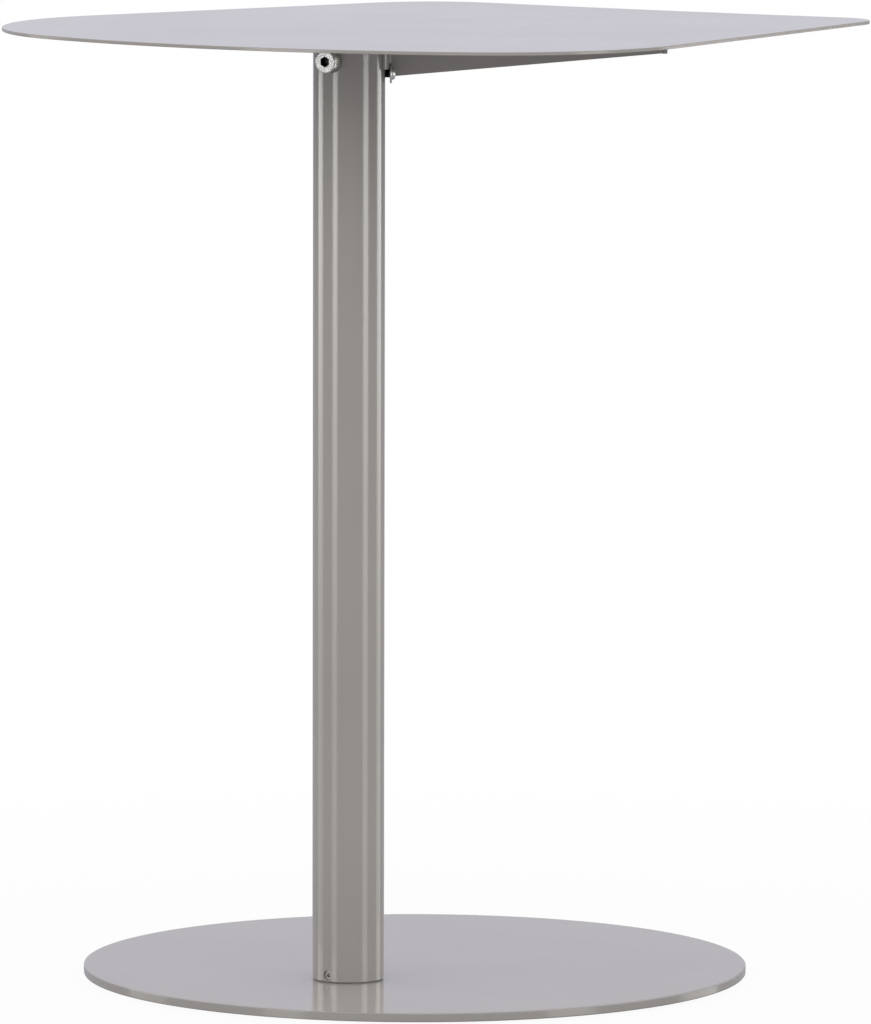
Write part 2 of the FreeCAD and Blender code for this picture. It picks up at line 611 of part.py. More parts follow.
def top_outline(body):
    """Sketch of the top from above, from the column's axis: four sides, two of them arcs."""
    angle = math.radians(size("near_right_angle"))
    along = Vector(math.cos(angle), math.sin(angle), 0)
    leftwards = Vector(-math.sin(angle), math.cos(angle), 0)
    right = Vector(size("right_corner_right"), size("right_corner_back"), 0)
    near = right - along * size("near_right_length")
    back = right + leftwards * size("far_right_length")
    left = near + leftwards * size("near_left_length")
    hollow = (back + right) / 2 - along * size("far_right_hollow")
    bow = (near + left) / 2 - along * size("near_left_bow")
    sketch = body.newObject("Sketcher::SketchObject", "TopOutline")
    plane = [item for item in body.Origin.OriginFeatures if item.Role == "XY_Plane"][0]
    sketch.AttachmentSupport = [(plane, "")]
    sketch.MapMode = "FlatFace"
    near_right = sketch.addGeometry(Part.LineSegment(near, right), False)
    far_right = sketch.addGeometry(Part.Arc(right, hollow, back), False)
    far_left = sketch.addGeometry(Part.LineSegment(back, left), False)
    near_left = sketch.addGeometry(Part.Arc(left, bow, near), False)
    far_chord = sketch.addGeometry(Part.LineSegment(right, back), True)
    near_chord = sketch.addGeometry(Part.LineSegment(near, left), True)
    tie_corners(sketch, near_right, far_right, far_left, near_left, right, back, left, near)
    join = sketch.addConstraint
    join(Sketcher.Constraint("Coincident", far_chord, 1, near_right, 2))
    join(Sketcher.Constraint("Coincident", far_chord, 2, far_left, 1))
    join(Sketcher.Constraint("Coincident", near_chord, 1, near_right, 1))
    join(Sketcher.Constraint("Coincident", near_chord, 2, far_left, 2))
    join(Sketcher.Constraint("Perpendicular", near_right, far_chord))
    join(Sketcher.Constraint("Perpendicular", near_right, near_chord))
    drive(sketch, Sketcher.Constraint("DistanceX", -1, 1, near_right, 2, right.x),
          "Sizes.right_corner_right")
    drive(sketch, Sketcher.Constraint("DistanceY", -1, 1, near_right, 2, right.y),
          "Sizes.right_corner_back")
    drive(sketch, Sketcher.Constraint("Angle", -1, 1, near_right, 1, angle),
          "Sizes.near_right_angle")
    drive(sketch, Sketcher.Constraint("Distance", near_right, size("near_right_length")),
          "Sizes.near_right_length")
    drive(sketch, Sketcher.Constraint("Distance", far_chord, size("far_right_length")),
          "Sizes.far_right_length")
    drive(sketch, Sketcher.Constraint("Distance", near_chord, size("near_left_length")),
          "Sizes.near_left_length")
    for arc, chord, rise in ((far_right, "far_right_length", "far_right_hollow"),
                             (near_left, "near_left_length", "near_left_bow")):
        radius = (size(chord) ** 2 / 4 + size(rise) ** 2) / (2 * size(rise))
        drive(sketch, Sketcher.Constraint("Radius", arc, radius),
              "(Sizes.%s ^ 2 / 4 + Sizes.%s ^ 2) / (2 * Sizes.%s)" % (chord, rise, rise))
    return sketch, (left, back, right, near)


def tie_corners(sketch, near_right, far_right, far_left, near_left, right, back, left, near):
    """Joins the ends of the four sides, whichever end of an arc lies at the corner."""
    def end_at(arc, corner):
        start = sketch.getPoint(arc, 1)
        return 1 if start.distanceToPoint(corner) < sketch.getPoint(arc, 2).distanceToPoint(corner) else 2

    for line, position, arc, corner in ((near_right, 2, far_right, right),
                                        (far_left, 1, far_right, back),
                                        (far_left, 2, near_left, left),
                                        (near_right, 1, near_left, near)):
        sketch.addConstraint(
            Sketcher.Constraint("Coincident", line, position, arc, end_at(arc, corner)))


def drive(sketch, constraint, expression):
    """Adds a dimension to a sketch and binds it to an expression."""
    index = sketch.addConstraint(constraint)
    sketch.setExpression("Constraints[%d]" % index, expression)


def top_plate():
    """Thin sheet top with a radius of its own at each corner and softened rims."""
    body = new_body("top_plate")
    sketch, corners = top_outline(body)
    pad = body.newObject("PartDesign::Pad", "TopSheet")
    pad.Profile = sketch
    pad.setExpression("Length", "Sizes.top_thickness")
    doc.recompute()
    names = ("left_corner_radius", "back_corner_radius", "right_corner_radius",
             "near_corner_radius")
    for corner, name in zip(corners, names):
        def at_corner(middle, start, end, edge):
            flat = Vector(middle.x, middle.y, 0)
            return same(start.x, end.x) and same(start.y, end.y) \
                and flat.distanceToPoint(corner) < size("arm_sheet")
        soften(body, name + "_round", edges_where(body.Tip, at_corner), S + name)

    def rims(middle, start, end, edge):
        return same(start.z, end.z) and same(start.z, middle.z)

    soften(body, "TopRims", edges_where(body.Tip, rims), "Sizes.top_rim_radius")
    body.setExpression("Placement", placed(AXIS_X, AXIS_Y, UNDERSIDE))


LOCK_AZIMUTH = "Sizes.lock_screw_azimuth"
LOCK_HEIGHT = "%s + Sizes.lock_screw_height" % BASE_TOP
CROSS_HEIGHT = "%s - Sizes.cross_bolt_drop" % UNDERSIDE
HOOK_HEIGHT = "%s - Sizes.hook_screw_drop" % UNDERSIDE

base_felt()
base_plate()
foot_plug()
foot_screw()
foot_pin()
foot_lock_screw()
column_tube()
head_plug()
arm("side_arm", hook_notch)
arm("rear_arm", bolt_hole)
hook_screw()
cross_bolt()
cross_washer()
cross_nut()
stud_fixings()
top_plate()

doc.recompute()
for item in doc.Objects:
    if "Invalid" in item.State or "Error" in item.State:
        raise RuntimeError("%s failed: %s" % (item.Name, item.State))
for node in NODES:
    if node.Shape.isNull() or not node.Shape.isValid():
        raise RuntimeError("%s has no valid shape" % node.Label)

os.makedirs("parts", exist_ok=True)
for node in NODES:
    node.Shape.exportStep(os.path.join("parts", node.Label + ".step"))
    print("%-18s solids %d  volume %.1f" % (node.Label, len(node.Shape.Solids), node.Shape.Volume))
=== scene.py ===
"""Corner table of coated sheet steel: finishes, detailed screws, studio floor, light, camera.

Run as a script. The panel in the 3D view's sidebar lists the same steps.
"""

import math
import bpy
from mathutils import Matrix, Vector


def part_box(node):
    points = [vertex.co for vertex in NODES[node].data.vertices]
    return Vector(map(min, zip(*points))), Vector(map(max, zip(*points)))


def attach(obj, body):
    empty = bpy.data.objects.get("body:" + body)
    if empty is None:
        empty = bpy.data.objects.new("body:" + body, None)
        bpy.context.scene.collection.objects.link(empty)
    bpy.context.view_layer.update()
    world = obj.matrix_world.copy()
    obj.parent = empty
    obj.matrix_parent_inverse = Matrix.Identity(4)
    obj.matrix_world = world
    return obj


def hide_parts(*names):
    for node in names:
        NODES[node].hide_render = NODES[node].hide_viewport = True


bl_info = {
    "name": "Corner table",
    "version": (1, 0, 0),
    "blender": (4, 5, 0),
    "location": "3D View > Sidebar > Corner table",
    "description": "Finishes, fasteners and studio for a corner table of coated sheet steel",
    "category": "Object",
}

import bmesh
import bpy
from bpy.props import FloatProperty, FloatVectorProperty, IntProperty, PointerProperty
from bpy.props import StringProperty
from mathutils import Matrix, Vector

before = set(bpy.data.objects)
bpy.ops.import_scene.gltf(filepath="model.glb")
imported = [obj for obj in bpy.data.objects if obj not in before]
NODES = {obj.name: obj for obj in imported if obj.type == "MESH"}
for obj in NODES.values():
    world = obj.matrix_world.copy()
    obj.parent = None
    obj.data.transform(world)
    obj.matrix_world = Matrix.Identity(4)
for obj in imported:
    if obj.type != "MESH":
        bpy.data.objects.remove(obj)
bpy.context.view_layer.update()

MM = 0.001
ROOT = "root"


# Places read from the frame


def box_centre(node):
    low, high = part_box(node)
    return (low + high) / 2


def along(node, origin, axis):
    """The lowest and highest place of a node's points along an axis through the origin."""
    places = [(vertex.co - origin).dot(axis) for vertex in NODES[node].data.vertices]
    return min(places), max(places)


def round_radius(node, origin, axis):
    """The greatest distance of a node's points from an axis through the origin."""
    return max((vertex.co - origin).cross(axis).length for vertex in NODES[node].data.vertices)


def axis_matrix(origin, axis):
    """Turns local Z onto the axis and moves the local origin to the given one."""
    turn = Vector((0, 0, 1)).rotation_difference(axis).to_matrix().to_4x4()
    return Matrix.Translation(origin) @ turn


COLUMN_LOW, COLUMN_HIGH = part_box("column_tube")
COLUMN_RADIUS = (COLUMN_HIGH.x - COLUMN_LOW.x) / 2
COLUMN_X = (COLUMN_LOW.x + COLUMN_HIGH.x) / 2
COLUMN_Y = (COLUMN_LOW.y + COLUMN_HIGH.y) / 2


# Settings that a user would change


class CoatSettings(bpy.types.PropertyGroup):
    """The sprayed coat on the sheet and the tube."""

    colour: StringProperty(
        name="Coat", description="sRGB hex of the cured coat", default="918D8A")
    colour_deep: StringProperty(
        name="Coat, thick", description="sRGB hex where the coat lies a little thicker",
        default="8D8986")
    cloud_size: FloatProperty(
        name="Cloud size", description="Width of the slow changes in tone",
        default=0.09, unit="LENGTH")
    peel_size: FloatProperty(
        name="Peel size", description="Width of one ripple of the cured coat",
        default=0.0022, unit="LENGTH")
    peel_depth: FloatProperty(
        name="Peel depth", description="Height of the ripples",
        default=0.0000016, unit="LENGTH", precision=6)
    roughness: FloatProperty(
        name="Roughness", description="Roughness of the cured coat", default=0.13,
        min=0, max=1, subtype="FACTOR")


class MetalSettings(bpy.types.PropertyGroup):
    """Bare and plated metal, the dark steel that paints shade into key sockets and on a shank, and
    the felt under the base.
    """

    zinc: StringProperty(
        name="Zinc", description="sRGB hex of bright zinc plate", default="D2D0CA")
    # Colour of the dark steel in key sockets and on the hook screw's shank: painted shade
    bare: StringProperty(
        name="Bare steel", description="sRGB hex of oiled steel in sockets and threads",
        default="3C3A38")
    turned: StringProperty(
        name="Turned steel", description="sRGB hex of turned bar", default="B4B1AB")
    felt: StringProperty(name="Felt", description="sRGB hex of the wool felt", default="3A3937")
    thread_pitch_share: FloatProperty(
        name="Thread pitch", description="Pitch as a share of the screw's diameter",
        default=0.157, min=0.05, max=0.3)
    knurl_count: IntProperty(
        name="Knurls", description="Least number of grooves round the cap screw's head",
        default=44, min=12, max=90)


class StudioSettings(bpy.types.PropertyGroup):
    """Camera, floor and light."""

    camera_place: FloatVectorProperty(
        name="Camera", description="Camera's place", default=(0.0114, -6.5743, 1.0078),
        subtype="TRANSLATION", unit="LENGTH")
    camera_pitch: FloatProperty(
        name="Pitch", description="How far the camera looks down", default=math.radians(6.426),
        subtype="ANGLE")
    camera_roll: FloatProperty(
        name="Roll", description="How far the camera is turned about its view",
        default=math.radians(0.114), subtype="ANGLE")
    camera_lens: FloatProperty(
        name="Lens", description="Focal length in millimetres", default=406.7, min=1)
    floor_colour: StringProperty(
        name="Floor", description="sRGB hex of the floor's paint", default="AAAAAB")
    floor_radius: FloatProperty(
        name="Floor radius", description="Radius of the pale floor", default=3.0, unit="LENGTH")
    white_share: FloatProperty(
        name="White near", description="How white the camera sees the floor under the table",
        default=0.955, min=0, max=1, subtype="FACTOR")
    white_start: FloatProperty(
        name="White start", description="From here outwards the floor turns whiter",
        default=0.2, unit="LENGTH")
    white_end: FloatProperty(
        name="White end", description="From here outwards the camera sees the floor pure white",
        default=0.9, unit="LENGTH")
    backdrop: StringProperty(
        name="Backdrop", description="sRGB hex of what the coat and the screws reflect",
        default="DCDDEA")
    backdrop_foot: FloatProperty(
        name="Backdrop's foot", description="Brightness of the backdrop's part below eye level",
        default=0.6, min=0, max=1, subtype="FACTOR")
    backdrop_above: FloatProperty(
        name="Backdrop above", description="Brightness of the backdrop's part over 9 degrees up",
        default=0.84, min=0, max=1, subtype="FACTOR")
    light_colour: StringProperty(
        name="Light", description="sRGB hex of the studio's light", default="FFFEFC")
    light_low: FloatProperty(
        name="Low light", description="Studio light near the horizon", default=1.0, min=0)
    light_middle: FloatProperty(
        name="Middle light", description="Studio light from 20 to 40 degrees up", default=2.0,
        min=0)
    light_above: FloatProperty(
        name="Light above", description="Light straight above, as a share of the middle light",
        default=0.35, min=0, max=1, subtype="FACTOR")
    strip_colour: StringProperty(
        name="Strips", description="sRGB hex of the strip lights", default="FFFFFC")
    strip_distance: FloatProperty(
        name="Strip distance", description="From the column to each strip light", default=1.8,
        unit="LENGTH")
    strip_top: FloatProperty(
        name="Strip top", description="Height of each strip light's upper end", default=0.405,
        unit="LENGTH")
    strip_foot: FloatProperty(
        name="Strip foot", description="Height of each strip light's lower end", default=-0.3,
        unit="LENGTH")


# Materials


def linear(hex_text):
    """A colour as sRGB hex, turned to linear red, green, blue and alpha."""
    parts = [int(hex_text[start:start + 2], 16) / 255 for start in (0, 2, 4)]
    return [part / 12.92 if part <= 0.04045 else ((part + 0.055) / 1.055) ** 2.4
            for part in parts] + [1.0]


def add_node(tree, kind, inputs=None, **settings):
    """Adds a shader node. Its inputs are values, sockets, or nodes whose first output is meant."""
    node = tree.nodes.new(kind)
    for name, value in settings.items():
        setattr(node, name, value)
    for name, value in (inputs or {}).items():
        if isinstance(value, bpy.types.Node):
            value = value.outputs[0]
        if isinstance(value, bpy.types.NodeSocket):
            tree.links.new(value, node.inputs[name])
        else:
            node.inputs[name].default_value = value
    return node


def new_material(name):
    """A material without nodes, its node tree, and the point in the piece's own coordinates."""
    material = bpy.data.materials.new(name)
    material.use_nodes = True
    tree = material.node_tree
    tree.nodes.clear()
    return material, tree, add_node(tree, "ShaderNodeTexCoord").outputs["Object"]


# Noise lies mostly between these two values, so they are spread over the whole of a range
NOISE_MIDDLE = {"From Min": 0.3, "From Max": 0.7}

# Inputs and output of a Mix node that are for colours
FIRST_COLOUR, SECOND_COLOUR, MIXED_COLOUR = 6, 7, 2


def coated_steel(name, coat):
    """Polyester powder sprayed on sheet steel and baked: semi-gloss, with a faint orange peel."""
    material, tree, point = new_material(name)
    clouds = add_node(tree, "ShaderNodeTexNoise",
                      {"Vector": point, "Scale": 1 / coat.cloud_size, "Detail": 2.0})
    thickness = add_node(tree, "ShaderNodeMapRange", {"Value": clouds, **NOISE_MIDDLE})
    tone = add_node(tree, "ShaderNodeMix",
                    {"Factor": thickness, FIRST_COLOUR: linear(coat.colour),
                     SECOND_COLOUR: linear(coat.colour_deep)}, data_type="RGBA")
    roughness = add_node(tree, "ShaderNodeMapRange",
                         {"Value": clouds, **NOISE_MIDDLE, "To Min": coat.roughness - 0.01,
                          "To Max": coat.roughness + 0.01})
    peel = add_node(tree, "ShaderNodeTexNoise",
                    {"Vector": point, "Scale": 1 / coat.peel_size, "Detail": 1.0})
    ripples = add_node(tree, "ShaderNodeBump", {"Height": peel, "Distance": coat.peel_depth})
    shader = add_node(tree, "ShaderNodeBsdfPrincipled", {
        "Base Color": tone.outputs[MIXED_COLOUR],
        "Roughness": roughness,
        "IOR": 1.5,
        "Normal": ripples})
    add_node(tree, "ShaderNodeOutputMaterial", {"Surface": shader})
    return material


def mottled_metal(name, colour, mottle_size, roughness, depth):
    """Metal whose gloss changes from spot to spot, between two roughnesses."""
    material, tree, point = new_material(name)
    mottle = add_node(tree, "ShaderNodeTexNoise",
                      {"Vector": point, "Scale": 1 / mottle_size, "Detail": 3.0})
    gloss = add_node(tree, "ShaderNodeMapRange",
                     {"Value": mottle, **NOISE_MIDDLE, "To Min": roughness[0],
                      "To Max": roughness[1]})
    pits = add_node(tree, "ShaderNodeBump", {"Height": mottle, "Distance": depth})
    shader = add_node(tree, "ShaderNodeBsdfPrincipled", {
        "Base Color": linear(colour), "Metallic": 1.0, "Roughness": gloss, "Normal": pits})
    add_node(tree, "ShaderNodeOutputMaterial", {"Surface": shader})
    return material


def bright_zinc(name, metal):
    """Steel screws electroplated with bright zinc: a lively silver with a fine mottle."""
    return mottled_metal(name, metal.zinc, 0.7 * MM, (0.16, 0.34), 0.02 * MM)


def dark_steel_for_shade(name, metal):
    """Dark, dull steel put in key sockets and on the hook screw's shank: painted shade where these
    hollows and gaps lie in shadow.
    """
    return mottled_metal(name, metal.bare, 0.5 * MM, (0.4, 0.55), 0.01 * MM)


def turned_steel(name, metal):
    """Bar steel turned on a lathe: bare metal with fine rings round the column's axis."""
    material, tree, point = new_material(name)
    centred = add_node(tree, "ShaderNodeMapping",
                       {"Vector": point, "Location": (-COLUMN_X, -COLUMN_Y, 0)})
    rings = add_node(tree, "ShaderNodeTexWave",
                     {"Vector": centred, "Scale": 1 / (6 * MM), "Distortion": 0.4},
                     wave_type="RINGS", rings_direction="Z").outputs["Fac"]
    gloss = add_node(tree, "ShaderNodeMapRange",
                     {"Value": rings, **NOISE_MIDDLE, "To Min": 0.28, "To Max": 0.38})
    grooves = add_node(tree, "ShaderNodeBump", {"Height": rings, "Distance": 0.01 * MM})
    shader = add_node(tree, "ShaderNodeBsdfPrincipled", {
        "Base Color": linear(metal.turned), "Metallic": 1.0, "Roughness": gloss,
        "Normal": grooves})
    add_node(tree, "ShaderNodeOutputMaterial", {"Surface": shader})
    return material


def wool_felt(name, metal):
    """Wool pressed into felt: matt, with short fibres lying every way and a pale nap."""
    material, tree, point = new_material(name)
    fibres = add_node(tree, "ShaderNodeTexNoise",
                      {"Vector": point, "Scale": 1 / (0.6 * MM), "Detail": 6.0})
    lumps = add_node(tree, "ShaderNodeTexNoise",
                     {"Vector": point, "Scale": 1 / (5 * MM), "Detail": 3.0})
    felt = linear(metal.felt)
    pale = [min(1.0, part * 1.7) for part in felt[:3]] + [1.0]
    nap_share = add_node(tree, "ShaderNodeMapRange", {"Value": fibres, **NOISE_MIDDLE})
    tone = add_node(tree, "ShaderNodeMix",
                    {"Factor": nap_share, FIRST_COLOUR: felt, SECOND_COLOUR: pale},
                    data_type="RGBA")
    soft = add_node(tree, "ShaderNodeBump", {"Height": lumps, "Distance": 0.3 * MM})
    nap = add_node(tree, "ShaderNodeBump",
                   {"Height": fibres, "Distance": 0.25 * MM, "Normal": soft})
    shader = add_node(tree, "ShaderNodeBsdfPrincipled", {
        "Base Color": tone.outputs[MIXED_COLOUR],
        "Roughness": 0.95,
        "Sheen Weight": 0.3,
        "Normal": nap})
    add_node(tree, "ShaderNodeOutputMaterial", {"Surface": shader})
    return material


FINISHES = {
    "powder_coated_sheet_steel": (coated_steel, "table_coat"),
    "bright_zinc_plated_steel": (bright_zinc, "table_metal"),
    "oiled_bare_steel": (dark_steel_for_shade, "table_metal"),
    "turned_bar_steel": (turned_steel, "table_metal"),
    "pressed_wool_felt": (wool_felt, "table_metal"),
}


def finish(context, name):
    """The material of that name, made once from the scene's settings."""
    maker, settings = FINISHES[name]
    return bpy.data.materials.get(name) or maker(name, getattr(context.scene, settings))


def dress(material, *nodes):
    """Puts a material on CAD nodes, whose shapes stay as they are."""
    for node in nodes:
        mesh = NODES[node].data
        mesh.materials.clear()
        mesh.materials.append(material)


# Mesh tools

# Faces that meet at less than this angle are shaded as one smooth surface
SMOOTH_ANGLE = math.radians(35)


def loop(bm, sides, radius, height):
    """The points of a closed ring of edges round local Z."""
    circle = bmesh.ops.create_circle(bm, segments=sides, radius=radius,
                                     matrix=Matrix.Translation((0, 0, height)))
    return circle["verts"]


def loops(bm, sides, places):
    """One ring for each radius and height."""
    return [loop(bm, sides, radius, height) for radius, height in places]


def hexagon(bm, sides, flats, height):
    """A round ring pushed out to a hexagon, so it joins the round ones point for point."""
    ring = loop(bm, sides, flats / 2, height)
    for vert in ring:
        from_flat = math.atan2(vert.co.y, vert.co.x) % math.radians(60) - math.radians(30)
        vert.co.xy /= math.cos(from_flat)
    return ring


def ring_edges(verts):
    """The edges whose two ends are both among the points."""
    chosen = set(verts)
    edges = []
    for vert in verts:
        for edge in vert.link_edges:
            if edge.other_vert(vert) in chosen and edge not in edges:
                edges.append(edge)
    return edges


def join_rings(bm, rings, closed=False):
    """Walls between each ring of points and the next."""
    edge_sets = [ring_edges(ring) for ring in rings]
    pairs = list(zip(edge_sets, edge_sets[1:]))
    if closed:
        pairs.append((edge_sets[-1], edge_sets[0]))
    for first, second in pairs:
        bmesh.ops.bridge_loops(bm, edges=first + second)


def close_rings(bm, rings):
    """Walls between the rings, and a face over the first and the last of them."""
    join_rings(bm, rings)
    for ring in (rings[0], rings[-1]):
        bmesh.ops.edgeloop_fill(bm, edges=ring_edges(ring))


def mark(bm, test):
    """Gives the second material to the faces whose middle passes the test."""
    for face in bm.faces:
        if test(face.calc_center_median()):
            face.material_index = 1


def add_part(bm, part, matrix):
    """Adds one mesh to another in its place."""
    part.transform(matrix)
    mesh = bpy.data.meshes.new("part")
    part.to_mesh(mesh)
    part.free()
    bm.from_mesh(mesh)
    bpy.data.meshes.remove(mesh)


def finished(bm, name, *materials):
    """The mesh as an object that rides on the table, its faces outwards."""
    bmesh.ops.recalc_face_normals(bm, faces=bm.faces)
    mesh = bpy.data.meshes.new(name)
    bm.to_mesh(mesh)
    bm.free()
    piece = bpy.data.objects.new(name, mesh)
    bpy.context.scene.collection.objects.link(piece)
    for material in materials:
        mesh.materials.append(material)
    mesh.shade_smooth()
    mesh.set_sharp_from_angle(angle=SMOOTH_ANGLE)
    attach(piece, ROOT)
    return piece


def solids_of(node):
    """The low and the high corner of each separate solid in a CAD node."""
    bm = bmesh.new()
    bm.from_mesh(NODES[node].data)
    bmesh.ops.remove_doubles(bm, verts=bm.verts, dist=0.01 * MM)
    left = set(bm.verts)
    found = []
    while left:
        solid = {left.pop()}
        border = list(solid)
        while border:
            vert = border.pop()
            for edge in vert.link_edges:
                other = edge.other_vert(vert)
                if other in left:
                    left.discard(other)
                    solid.add(other)
                    border.append(other)
        low = Vector(min(vert.co[i] for vert in solid) for i in range(3))
        high = Vector(max(vert.co[i] for vert in solid) for i in range(3))
        found.append((low, high))
    bm.free()
    return sorted(found, key=lambda pair: pair[0][:])


# Screws and nuts

# A thread's depth by its pitch, and how far its ridge reaches inwards, by that depth
THREAD_DEPTH_SHARE = 0.6
RIDGE_FOOT_SHARE = 1.15

# A key's socket is a little wider at its lip than inside
SOCKET_LIP_SHARE = 1.08

# Cap screw: socket across flats by the head's radius, depths of the socket and of its lip by
# the head's height, depth of the knurl, and rings from the face to the seat, each by the
# head's radius and by its height
CAP_SOCKET_SHARE = 0.76
CAP_SOCKET_DEPTH_SHARE = 0.5
CAP_LIP_DEPTH_SHARE = 0.04
KNURL_DEPTH_SHARE = 0.04
CAP_FACE_SHARES = ((0.87, 1.0), (0.965, 0.94))
CAP_KNURL_SHARES = (0.88, 0.12)
CAP_SEAT_SHARES = ((0.96, 0.05), (0.93, 0.0))

# Part of a bolt or a stud that has no thread, by its length
PLAIN_SHANK_SHARE = 0.4

# The faces of the cap screw's socket that get painted shade lie nearer to its axis and deeper than
# these shares of the head's radius
CAP_SHADE_RADIUS_SHARE = 0.45
CAP_SHADE_DEPTH_SHARE = 0.02

# Flanged screw: socket across flats by the dome's radius, its floor and mouth by the head's height,
# the flat on the dome, how full the dome is, the flange's rings, and where the faces of the socket
# and the shank that get painted shade lie
DOME_SOCKET_SHARE = 0.79
DOME_SOCKET_FLOOR_SHARE = 0.45
DOME_SOCKET_MOUTH_SHARE = 0.97
DOME_FLAT_SHARE = 0.55
DOME_FULLNESS = 0.8
DOME_ANGLES = [math.radians(degrees) for degrees in (12, 31, 50, 69, 88)]
FLANGE_SHARES = ((0.96, 1.0), (1.0, 0.7), (1.0, 0.2), (0.97, 0.0))
DOME_SHADE_RADIUS_SHARE = 0.47
DOME_SHADE_HEIGHT_SHARE = 0.98
SHANK_SHADE_SHARE = 0.01
UNDERCUT_SHARE = 0.3
RIDGE_START_SHARE = 0.1

# Nut: radius of the round face by the width across flats, slope of the cut corners, and the
# mouth's widening and depth by the bore
NUT_FACE_SHARE = 0.475
NUT_CORNER_SLOPE = math.tan(math.radians(30))
NUT_MOUTH_SHARE = 1.1
NUT_MOUTH_DEPTH_SHARE = 0.12


def thread(bm, radius, pitch, start, end, steps=28):
    """A thread's ridge: a small triangle swept along a helix round local Z."""
    foot = radius - RIDGE_FOOT_SHARE * THREAD_DEPTH_SHARE * pitch
    turns = (end - start - pitch) / pitch
    corners = [bm.verts.new(place) for place in (
        (foot, 0, start), (radius, 0, start + pitch / 2), (foot, 0, start + pitch))]
    face = bm.faces.new(corners)
    count = max(3, int(steps * turns))
    bmesh.ops.spin(bm, geom=[face] + list(face.edges) + corners, cent=(0, 0, 0),
                   axis=(0, 0, 1), dvec=(0, 0, turns * pitch / count),
                   angle=2 * math.pi * turns, steps=count, use_duplicate=False)


def knurl(ring):
    """Moves every other point of a ring inwards, for grooves round a head."""
    for vert in ring[1::2]:
        vert.co.xy *= 1 - KNURL_DEPTH_SHARE


def cap_screw(bm, head_radius, head_height, shank_radius, length, pitch, knurls):
    """Socket cap screw: z is 0 under the head, the head reaches down and the shank up."""
    # enough sides for the grooves, and a multiple of 12 so that the socket gets its corners
    sides = knurls * 2 + (-knurls * 2) % 12
    face = -head_height
    flats = CAP_SOCKET_SHARE * head_radius
    rings = [hexagon(bm, sides, flats, face + CAP_SOCKET_DEPTH_SHARE * head_height),
             hexagon(bm, sides, flats, face + CAP_LIP_DEPTH_SHARE * head_height),
             hexagon(bm, sides, flats * SOCKET_LIP_SHARE, face)]
    rings += loops(bm, sides, [(wide * head_radius, high * face)
                               for wide, high in CAP_FACE_SHARES])
    for high in CAP_KNURL_SHARES:
        grooved = loop(bm, sides, head_radius, high * face)
        knurl(grooved)
        rings.append(grooved)
    rings += loops(bm, sides, [(wide * head_radius, high * face)
                               for wide, high in CAP_SEAT_SHARES])
    core = shank_radius - THREAD_DEPTH_SHARE * pitch
    plain = PLAIN_SHANK_SHARE * length
    rings += loops(bm, sides, [(shank_radius, 0), (shank_radius, plain), (core, plain + pitch),
                               (core, length - pitch / 2), (core - pitch / 2, length)])
    close_rings(bm, rings)
    thread(bm, shank_radius, pitch, plain, length - pitch / 2)


def flanged_screw(bm, flange, dome, shank_radius, length, pitch, sides=48):
    """Button-head screw with a flange: z is 0 under the flange, the shank reaches down."""
    flange_radius, flange_height = flange
    dome_radius, dome_height = dome
    top = flange_height + dome_height
    flats = DOME_SOCKET_SHARE * dome_radius
    rings = [hexagon(bm, sides, flats, DOME_SOCKET_FLOOR_SHARE * top),
             hexagon(bm, sides, flats, DOME_SOCKET_MOUTH_SHARE * top),
             hexagon(bm, sides, flats * SOCKET_LIP_SHARE, top)]
    for angle in DOME_ANGLES:
        out = DOME_FLAT_SHARE + (1 - DOME_FLAT_SHARE) * math.sin(angle)
        up = math.cos(angle) ** DOME_FULLNESS
        rings.append(loop(bm, sides, dome_radius * out, flange_height + dome_height * up))
    rings += loops(bm, sides, [(wide * flange_radius, high * flange_height)
                               for wide, high in FLANGE_SHARES])
    core = shank_radius - THREAD_DEPTH_SHARE * pitch
    rings += loops(bm, sides, [(shank_radius, 0), (core, -UNDERCUT_SHARE * pitch),
                               (core, pitch / 2 - length), (core - pitch / 2, -length)])
    close_rings(bm, rings)
    thread(bm, shank_radius, pitch, pitch / 2 - length, -RIDGE_START_SHARE * pitch)


def hex_nut(bm, flats, height, bore, sides=48):
    """Hexagon nut from z 0 up, its corners cut back at both faces."""
    rings = []
    face_radius = flats * NUT_FACE_SHARE
    for at, inward in ((0, 1), (height, -1)):
        corners = hexagon(bm, sides, flats, at)
        for vert in corners:
            over = max(0.0, vert.co.xy.length - face_radius)
            vert.co.z += inward * over * NUT_CORNER_SLOPE
        inside = loops(bm, sides, [
            (face_radius, at), (bore * NUT_MOUTH_SHARE, at),
            (bore, at + inward * bore * NUT_MOUTH_DEPTH_SHARE)])
        rings.append([corners] + inside)
    lower, upper = rings
    join_rings(bm, lower[::-1] + upper, closed=True)


def threaded_stud(bm, radius, length, pitch, sides=28):
    """Weld stud from z 0 up: a plain foot, then thread to its chamfered end."""
    core = radius - THREAD_DEPTH_SHARE * pitch
    plain = PLAIN_SHANK_SHARE * length
    rings = loops(bm, sides, [(radius, 0), (radius, plain - pitch / 2), (core, plain),
                              (core, length - pitch / 3), (core - pitch / 3, length)])
    close_rings(bm, rings)
    thread(bm, radius, pitch, plain - pitch / 2, length - pitch / 4)


# Steps

# Millimetres of the standard nut on the cross bolt, and of the bolt itself
NUT_FLATS = 13
BOLT_DIAMETER = 8

# Millimetres of the hook screw
HOOK_FLANGE_DIAMETER = 11.5
HOOK_FLANGE_THICKNESS = 1.1
HOOK_DOME_DIAMETER = 7.6
HOOK_DOME_HEIGHT = 2
HOOK_SHANK_DIAMETER = 5
HOOK_SHANK_LENGTH = 16


class TABLE_OT_coat_sheet_and_tube(bpy.types.Operator):
    """Coats the base, the column, the top and the two arms."""

    bl_idname = "table.coat_sheet_and_tube"
    bl_label = "Coat the sheet and tube"

    def execute(self, context):
        dress(finish(context, "powder_coated_sheet_steel"),
              "base_plate", "column_tube", "top_plate", "side_arm", "rear_arm")
        return {"FINISHED"}


